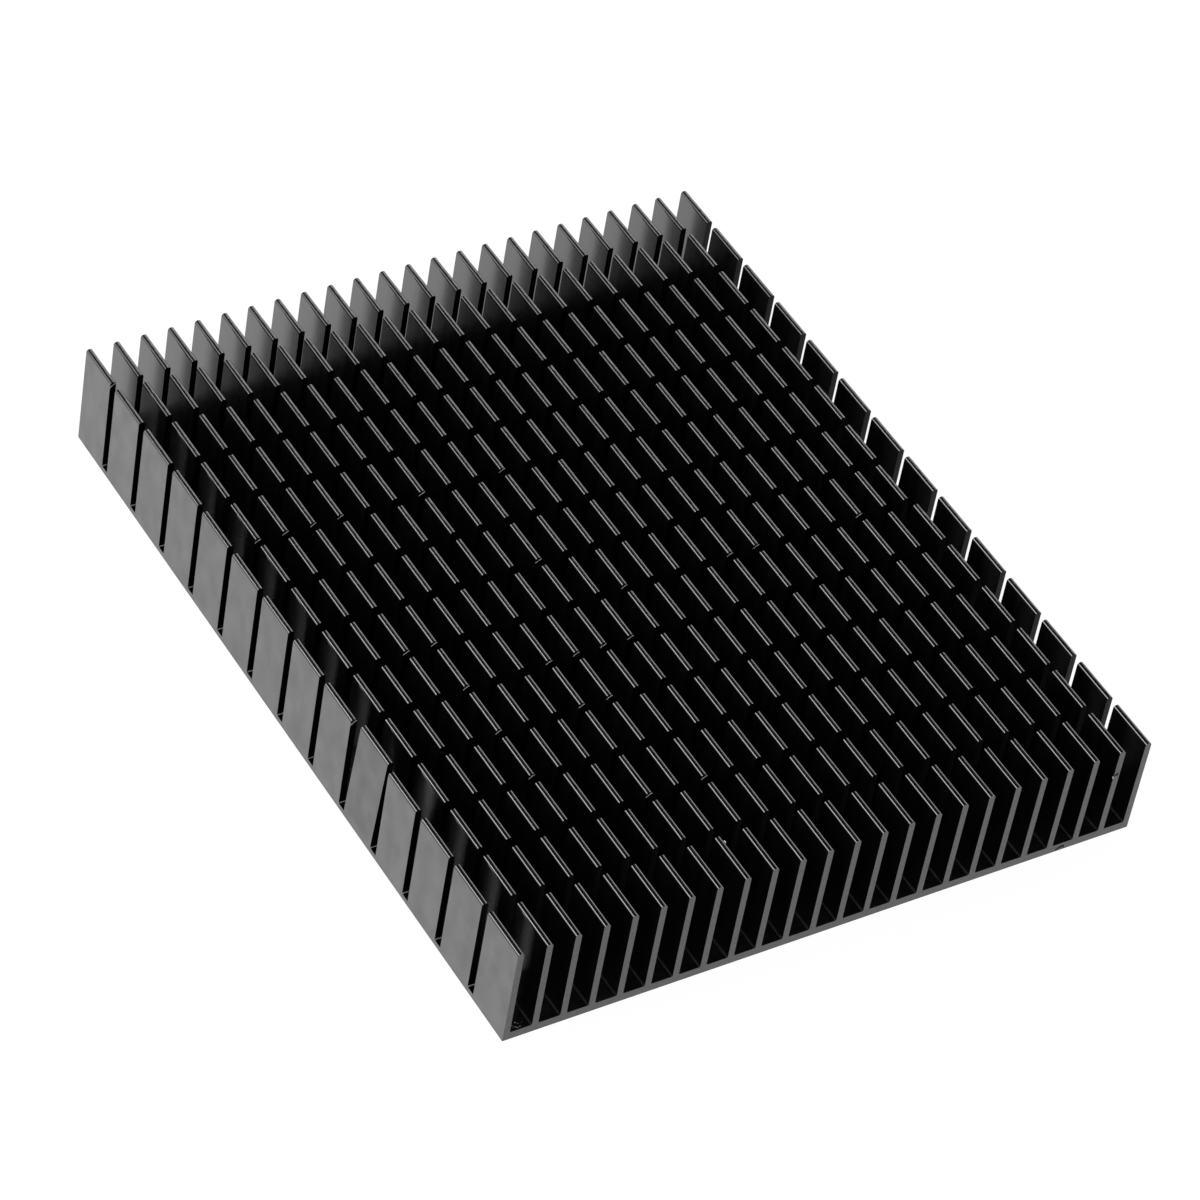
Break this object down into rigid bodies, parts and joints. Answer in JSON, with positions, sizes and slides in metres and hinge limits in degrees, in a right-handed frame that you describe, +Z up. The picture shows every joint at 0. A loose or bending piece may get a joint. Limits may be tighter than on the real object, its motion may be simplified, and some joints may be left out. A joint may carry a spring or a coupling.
{
  "type": "heat sink",
  "caption": "Flat rectangular heat sink with upright fins sawn across into short blades, for cooling a flat hot part by air.",
  "frame": {"origin": "middle of the underside, the flat face that meets the hot part", "axes": "+X to the right across the fins, +Y along the fins from front to back, +Z up from the underside to the fin tips"},
  "size_m": [0.12, 0.15, 0.02],
  "materials": {
    "black_anodised_aluminium": "satin"
  },
  "bodies": {
    "root": {"heat_sink": "black_anodised_aluminium"}
  },
  "joints": []
}
